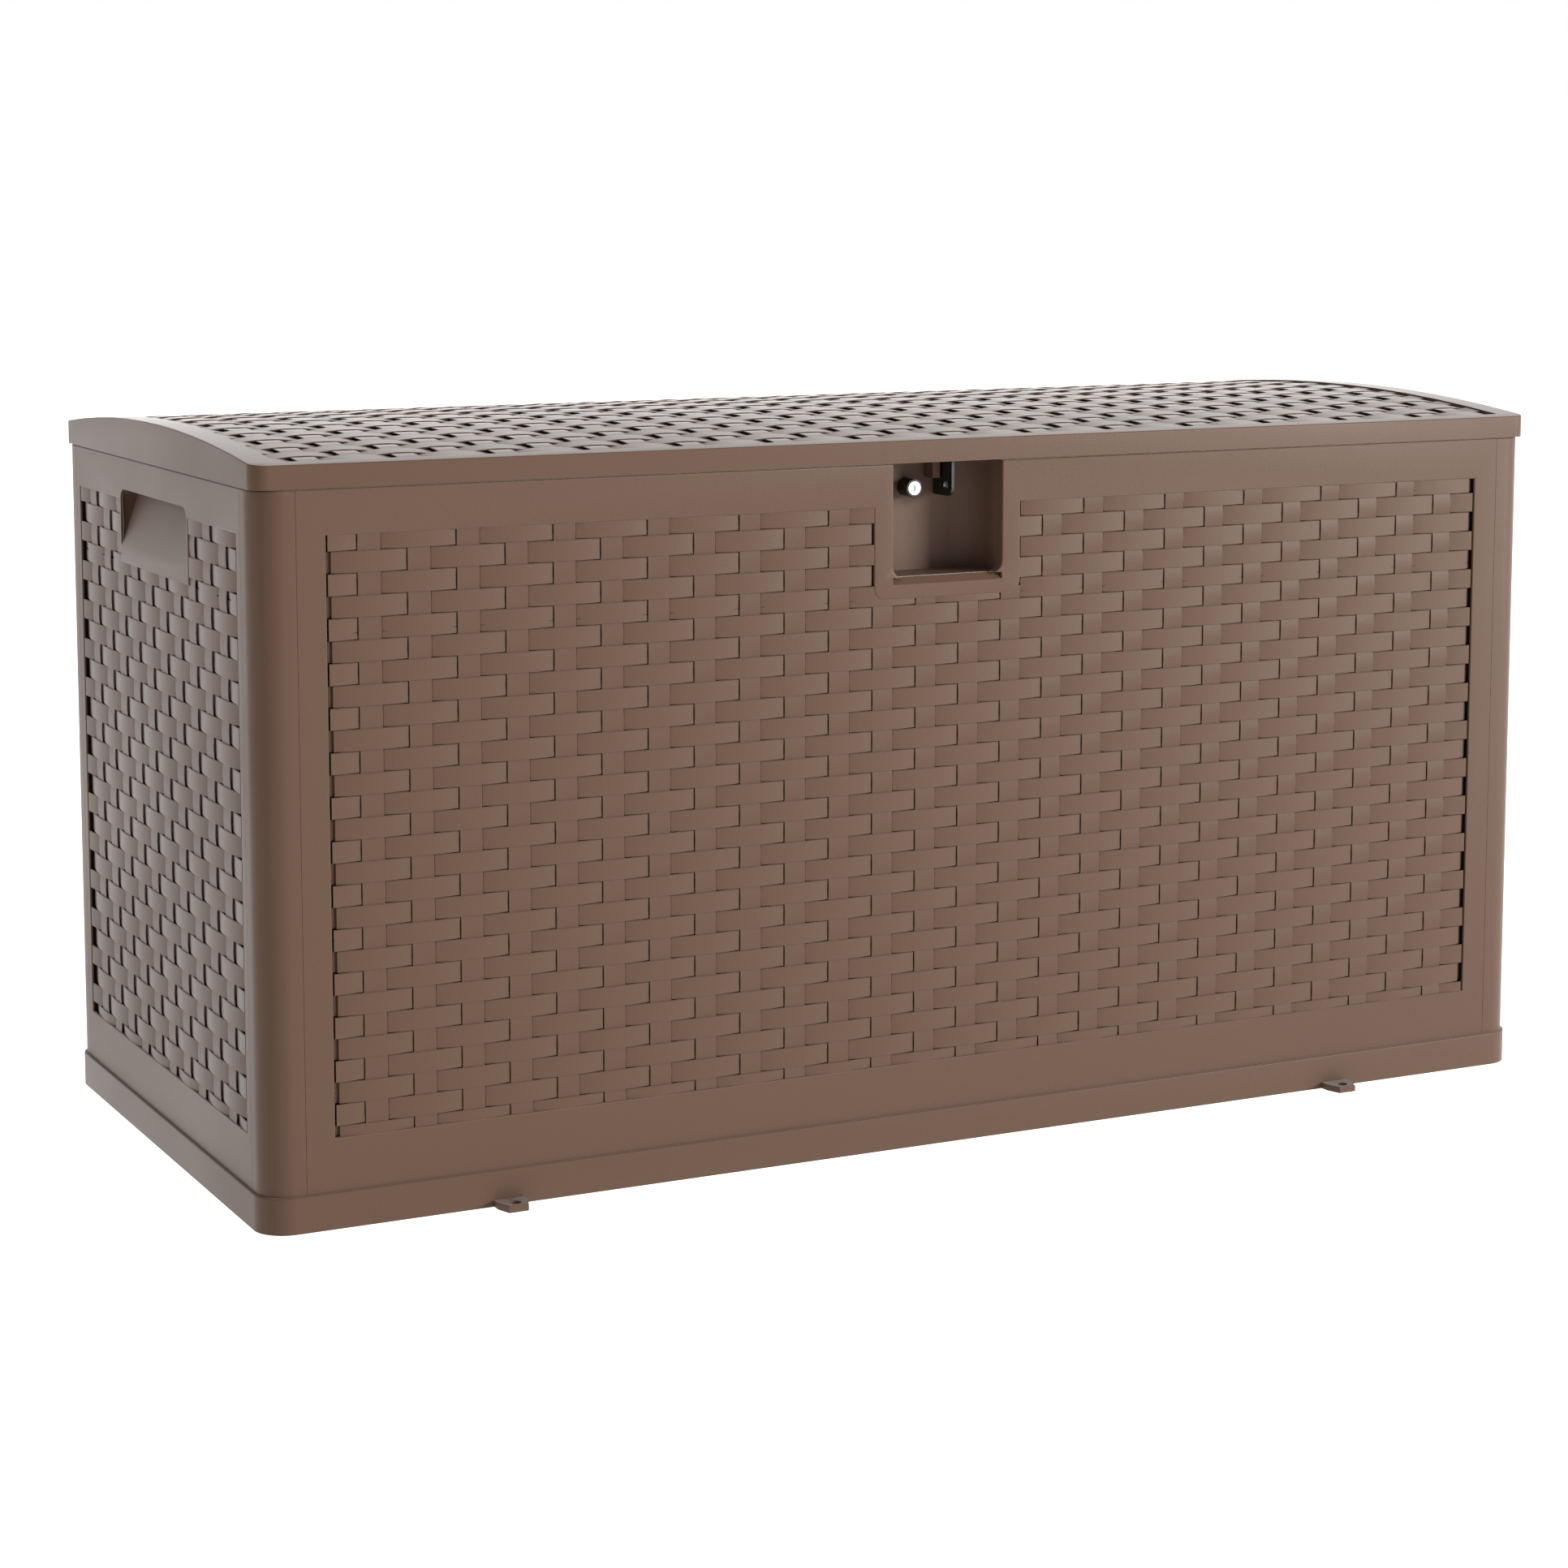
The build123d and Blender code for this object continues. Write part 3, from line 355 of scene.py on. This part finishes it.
def grow(line, values):
    """Run the strip tree on a centre line of (x, depth) points and give back a plain mesh."""
    points = [(x, depth, 0) for x, depth in line]
    base = bpy.data.meshes.new("centre_line")
    base.from_pydata(points, [(i, i + 1) for i in range(len(points) - 1)], [])
    holder = bpy.data.objects.new("holder", base)
    scene.collection.objects.link(holder)
    modifier = holder.modifiers.new("grow", "NODES")
    modifier.node_group = strip_rows
    for item in strip_rows.interface.items_tree:
        if item.in_out == "INPUT" and item.name in values:
            modifier[item.identifier] = values[item.name]
    bpy.context.view_layer.update()
    evaluated = holder.evaluated_get(bpy.context.evaluated_depsgraph_get())
    mesh = bpy.data.meshes.new_from_object(evaluated)
    bpy.data.objects.remove(holder)
    bpy.data.meshes.remove(base)
    return mesh


def piece_from(name, meshes, body, place=None):
    """Join plain meshes into one piece at the origin that rides on a body."""
    whole = bmesh.new()
    for mesh in meshes:
        whole.from_mesh(mesh)
    if place is not None:
        bmesh.ops.transform(whole, matrix=place, verts=whole.verts)
    data = bpy.data.meshes.new(name)
    whole.to_mesh(data)
    whole.free()
    data.set_sharp_from_angle(angle=SHARP_WEAVE)
    data.polygons.foreach_set("material_index", [0] * len(data.polygons))
    data.materials.append(next(material for material in meshes[0].materials if material))
    made = bpy.data.objects.new(name, data)
    scene.collection.objects.link(made)
    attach(made, body)
    return made


RIBBON_STOPS = (0, 0.14, 1 - FOOT, 1 - SHOULDER, 0.4, 0.5, 0.6, SHOULDER, FOOT, 0.86)


def ribbon_line(start, end, phase, crown):
    """A ribbon's centre line: it crowns over every second stake and ducks behind the others."""
    spots = {start, end}
    for cell in range(math.floor(start / HALF_PITCH) - 1, math.ceil(end / HALF_PITCH) + 1):
        spots.update(x for x in ((cell + 0.5 + s) * HALF_PITCH for s in RIBBON_STOPS) if start < x < end)
    line = []
    for x in sorted(spots):
        away = abs((x / HALF_PITCH - 0.5 - phase + 1) % 2 - 1)
        duck = min(max((away - SHOULDER) / (FOOT - SHOULDER), 0), 1)
        bow = RIBBON_FACE + RIBBON_THICK / 2 + crown * away ** 2
        line.append((x, bow + (RIBBON_FOOT - bow) * duck))
    return line


def ribbons(start, end, first, count, first_row=FIRST_RIBBON, pitch=RIBBON_PITCH, crown=RIBBON_CROWN):
    """Level ribbons from the row number first; even rows crown over the odd-numbered stakes."""
    return [
        grow(ribbon_line(start, end, (row + 1) % 2, crown), {
            "Width": pitch - RIBBON_GAP, "Thickness": RIBBON_THICK, "Edge Round": RIBBON_ROUND,
            "First Row": first_row + row * pitch, "Row Pitch": 2 * pitch,
            "Rows": len(range(row, first + count, 2)), "Turn": 0.0, "Finish": resin,
        })
        for row in (first, first + 1)
    ]


def stakes(bottom, top, first, count, first_row=FIRST_RIBBON, pitch=RIBBON_PITCH):
    """Stakes across the ribbons, the first one at half a pitch past the number first."""
    middle = (STAKE_OVER + STAKE_UNDER + STAKE_THICK) / 2
    swing = (STAKE_UNDER - STAKE_OVER) / 2
    steps = max(2, round((top - bottom) / pitch * STAKE_STEPS))
    heights = [bottom + (top - bottom) * i / steps for i in range(steps + 1)]
    meshes = []
    for stake in (first, first + 1):
        side = 1 if stake % 2 else -1
        line = [(z, middle + side * swing * math.cos(math.pi * (z - first_row) / pitch)) for z in heights]
        number = len(range(stake, first + count, 2))
        last = stake + 2 * (number - 1)
        meshes.append(grow(line, {
            "Width": STAKE_WIDTH, "Thickness": STAKE_THICK, "Edge Round": STAKE_THICK / 3,
            "First Row": -(last + 0.5) * HALF_PITCH, "Row Pitch": 2 * HALF_PITCH,
            "Rows": number, "Turn": -math.pi / 2, "Finish": resin,
        }))
    return meshes


# Painted shade: this near-black material, with faint random darkening, stands in for the shade deep in the
# weave's gaps.
shadow_gap = bpy.data.materials.new("weave_shadow")
shadow_gap.use_nodes = True
shadow_shader = shadow_gap.node_tree.nodes["Principled BSDF"]
shadow_noise = add_node(shadow_gap.node_tree, "ShaderNodeTexNoise", inputs={"Scale": 60.0})
shadow_tone = add_node(shadow_gap.node_tree, "ShaderNodeMapRange", inputs={"To Min": 0.002, "To Max": 0.006})
shadow_gap.node_tree.links.new(shadow_noise.outputs["Fac"], shadow_tone.inputs["Value"])
shadow_gap.node_tree.links.new(shadow_tone.outputs["Result"], shadow_shader.inputs["Base Color"])
shadow_shader.inputs["Roughness"].default_value = 0.95
shadow_shader.inputs["Specular IOR Level"].default_value = 0.1


def painted_shade_mesh(rectangles):
    """Near-black trays of painted shade behind a weave: a floor sheet and a low rim for each rectangle (x0,
    x1, z0, z1).
    """
    floor_y = FIELD_DEPTH - PAINTED_SHADE_LIFT
    gap = PAINTED_SHADE_GAP
    sheet = bmesh.new()
    for x0, x1, z0, z1 in rectangles:
        corners = [(x0 + gap, z0 + gap), (x1 - gap, z0 + gap), (x1 - gap, z1 - gap), (x0 + gap, z1 - gap)]
        low = [sheet.verts.new((x, floor_y, z)) for x, z in corners]
        high = [sheet.verts.new((x, PAINTED_SHADE_LIP, z)) for x, z in corners]
        sheet.faces.new(low)
        for a in range(4):
            b = (a + 1) % 4
            sheet.faces.new((high[a], high[b], low[b], low[a]))
    bmesh.ops.recalc_face_normals(sheet, faces=sheet.faces)
    mesh = bpy.data.meshes.new("painted_shade")
    sheet.to_mesh(mesh)
    sheet.free()
    mesh.materials.append(shadow_gap)
    return mesh


def wall_place(node, turn):
    """Where a wall's field goes: its outer face is the CAD panel's outer face."""
    low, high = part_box(node)
    spin = Matrix.Rotation(turn, 4, "Z")
    outward = spin @ Vector((0, -1, 0))
    if abs(outward.x) > 0.5:
        shift = Vector((low.x if outward.x < 0 else high.x, 0, 0))
    else:
        shift = Vector((0, low.y if outward.y < 0 else high.y, 0))
    return Matrix.Translation(shift) @ spin


ROW_BOTTOM = FIELD_BOTTOM - TUCK
ROW_TOP = FIELD_TOP + TUCK
PLATE_HALF = 0.071
PLATE_TUCK = 0.008
PLATE_BOTTOM = 0.477
LATCH_ROWS = 4
HANDLE_HALF = 0.099
GRIP_TUCK = 0.002
HANDLE_BOTTOM = 0.500
HANDLE_ROWS = 3
FRONT_STAKES = 13
SIDE_STAKES = 5
SHORT_STAKES = 2

front_end = FRONT_HALF - EDGE_GAP
front_place = wall_place("front_panel", 0)
plate_tuck = PLATE_HALF - PLATE_TUCK
low_rows = RIBBON_COUNT - LATCH_ROWS
piece_from("front_ribbons", [
    *ribbons(-front_end, front_end, 0, low_rows),
    *ribbons(-front_end, -plate_tuck, low_rows, LATCH_ROWS),
    *ribbons(plate_tuck, front_end, low_rows, LATCH_ROWS),
], "box", front_place)
piece_from("front_stakes", [
    *stakes(ROW_BOTTOM, ROW_TOP, -FRONT_STAKES, FRONT_STAKES - SHORT_STAKES),
    *stakes(ROW_BOTTOM, PLATE_BOTTOM + TUCK, -SHORT_STAKES, 2 * SHORT_STAKES),
    *stakes(ROW_BOTTOM, ROW_TOP, SHORT_STAKES, FRONT_STAKES - SHORT_STAKES),
], "box", front_place)
# The near-black tray behind the front field is painted shade for the gaps between ribbons and stakes.
piece_from("front_weave_painted_shade", [painted_shade_mesh([
    (-FRONT_HALF, FRONT_HALF, FIELD_BOTTOM, PLATE_BOTTOM),
    (-FRONT_HALF, -PLATE_HALF, PLATE_BOTTOM, FIELD_TOP),
    (PLATE_HALF, FRONT_HALF, PLATE_BOTTOM, FIELD_TOP),
])], "box", front_place)

back_place = wall_place("back_panel", math.pi)
piece_from("back_ribbons", ribbons(-front_end, front_end, 0, RIBBON_COUNT), "box", back_place)
back_stakes = stakes(ROW_BOTTOM, ROW_TOP, -FRONT_STAKES, 2 * FRONT_STAKES)
piece_from("back_stakes", back_stakes, "box", back_place)
# The near-black tray behind the back field is painted shade for its gaps.
piece_from("back_weave_painted_shade", [
    painted_shade_mesh([(-FRONT_HALF, FRONT_HALF, FIELD_BOTTOM, FIELD_TOP)])
], "box", back_place)

side_end = SIDE_HALF - EDGE_GAP
grip_tuck = HANDLE_HALF - GRIP_TUCK
low_rows = RIBBON_COUNT - HANDLE_ROWS
for side, turn in (("left", -math.pi / 2), ("right", math.pi / 2)):
    place = wall_place(side + "_panel", turn)
    piece_from(side + "_ribbons", [
        *ribbons(-side_end, side_end, 0, low_rows, crown=SIDE_CROWN),
        *ribbons(-side_end, -grip_tuck, low_rows, HANDLE_ROWS, crown=SIDE_CROWN),
        *ribbons(grip_tuck, side_end, low_rows, HANDLE_ROWS, crown=SIDE_CROWN),
    ], "box", place)
    piece_from(side + "_stakes", [
        *stakes(ROW_BOTTOM, ROW_TOP, -SIDE_STAKES, SIDE_STAKES - SHORT_STAKES),
        *stakes(ROW_BOTTOM, HANDLE_BOTTOM + TUCK, -SHORT_STAKES, 2 * SHORT_STAKES),
        *stakes(ROW_BOTTOM, ROW_TOP, SHORT_STAKES, SIDE_STAKES - SHORT_STAKES),
    ], "box", place)
    # The near-black tray behind each side field is painted shade for its gaps.
    piece_from(side + "_weave_painted_shade", [painted_shade_mesh([
        (-SIDE_HALF, SIDE_HALF, FIELD_BOTTOM, HANDLE_BOTTOM),
        (-SIDE_HALF, -HANDLE_HALF, HANDLE_BOTTOM, FIELD_TOP),
        (HANDLE_HALF, SIDE_HALF, HANDLE_BOTTOM, FIELD_TOP),
    ])], "box", place)

# ---------------------------------------------------------------- woven field of the lid
# The lid's field is the same moulded weave, laid over the arch. Its ribbons run the length of the lid and
# bulge more than the walls' do; its stakes run from front to back.

LID_PITCH = 0.0214
LID_ROWS = 24
LID_CROWN = 0.0055
LID_STAKES = 14
LID_FIELD_X = 0.589
LID_FIELD_Y = 0.258
lid_low, lid_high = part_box("lid_shell")
lid_half = (lid_high.y - lid_low.y) / 2
ARCH_RISE = 0.016
ARCH_RADIUS = (lid_half ** 2 + ARCH_RISE ** 2) / (2 * ARCH_RISE)
arch_centre = lid_high.z - ARCH_RADIUS


def over_the_arch(mesh):
    """Wrap a flat field over the lid: its height becomes the run over the arch and its depth goes inwards."""
    for vertex in mesh.vertices:
        x, depth, run = vertex.co
        angle = run / ARCH_RADIUS
        reach = ARCH_RADIUS - depth
        vertex.co = (x, reach * math.sin(angle), arch_centre + reach * math.cos(angle))
    return mesh


def lid_painted_shade_mesh(half_length, half_run):
    """A thin near-black sheet of painted shade under the lid's weave, in level strips that can bend over the
    arch.
    """
    sheet = bmesh.new()
    rows = []
    for i in range(LID_ROWS + 1):
        run = half_run * (2 * i / LID_ROWS - 1)
        ends = [(x, FIELD_DEPTH - PAINTED_SHADE_LIFT, run) for x in (-half_length, half_length)]
        rows.append([sheet.verts.new(end) for end in ends])
    for near, far in zip(rows, rows[1:]):
        sheet.faces.new((near[0], near[1], far[1], far[0]))
    mesh = bpy.data.meshes.new("lid_painted_shade")
    sheet.to_mesh(mesh)
    sheet.free()
    mesh.materials.append(shadow_gap)
    return mesh


lid_run = ARCH_RADIUS * math.asin(LID_FIELD_Y / ARCH_RADIUS)
first_lid_row = -(LID_ROWS - 1) / 2 * LID_PITCH
lid_end = LID_FIELD_X - EDGE_GAP
lid_ribbons = ribbons(-lid_end, lid_end, 0, LID_ROWS, first_lid_row, LID_PITCH, LID_CROWN)
lid_stakes = stakes(-lid_run, lid_run, -LID_STAKES, 2 * LID_STAKES, first_lid_row, LID_PITCH)
# The near-black sheet under the lid's weave is painted shade for its gaps.
piece_from("lid_weave_painted_shade", [over_the_arch(lid_painted_shade_mesh(lid_end, lid_run))], "lid")
piece_from("lid_ribbons", [over_the_arch(mesh) for mesh in lid_ribbons], "lid")
piece_from("lid_stakes", [over_the_arch(mesh) for mesh in lid_stakes], "lid")

# ---------------------------------------------------------------- lock, hasp and metal parts
# The lock is a chrome-faced key plug in a black barrel. The hasp and the keeper are black-coated steel, the
# tubes, pins and screws are zinc-plated steel, and the hinge leaves are moulded in a paler resin.


def plated_metal(name, tone, roughness, metallic=1.0):
    """A metal with faint polishing marks in its gloss."""
    material = bpy.data.materials.new(name)
    material.use_nodes = True
    tree = material.node_tree
    shader = tree.nodes["Principled BSDF"]
    shader.inputs["Metallic"].default_value = metallic
    skin = add_node(tree, "ShaderNodeGroup", {"node_tree": moulded_grain}, {
        "Tone": tone, "Cloud Tone": [c * 0.9 for c in tone[:3]] + [1],
        "Cloud Scale": 40.0, "Grain Scale": 1500.0, "Gloss Low": roughness, "Gloss High": roughness * 1.3,
    })
    tree.links.new(skin.outputs["Color"], shader.inputs["Base Color"])
    tree.links.new(skin.outputs["Roughness"], shader.inputs["Roughness"])
    return material


chrome = plated_metal("chrome_plate", (0.9, 0.9, 0.9, 1), 0.08)
black_coat = plated_metal("black_coat", (0.006, 0.006, 0.006, 1), 0.3, metallic=0.0)
zinc = plated_metal("zinc_plate", (0.55, 0.55, 0.53, 1), 0.3)
hinge_resin = moulded_plastic("hinge_resin", {
    "Tone": (0.12, 0.075, 0.053, 1), "Cloud Tone": (0.10, 0.062, 0.044, 1),
})
for name in ("hasp_plate", "lock_keeper", "lock_barrel"):
    dress(name, black_coat)
dress("lock_plug", chrome)
for name in (
    "lock_nut", "lock_cam", "cam_screw", "latch_screws", "striker_screws",
    "brace_tube_front", "brace_tube_back", "hinge_screws_body", "hinge_screws_lid",
):
    dress(name, zinc)
for place in ("left", "middle", "right"):
    dress("hinge_leaf_body_" + place, hinge_resin)
    dress("hinge_leaf_lid_" + place, hinge_resin)
    dress("hinge_pin_" + place, zinc)
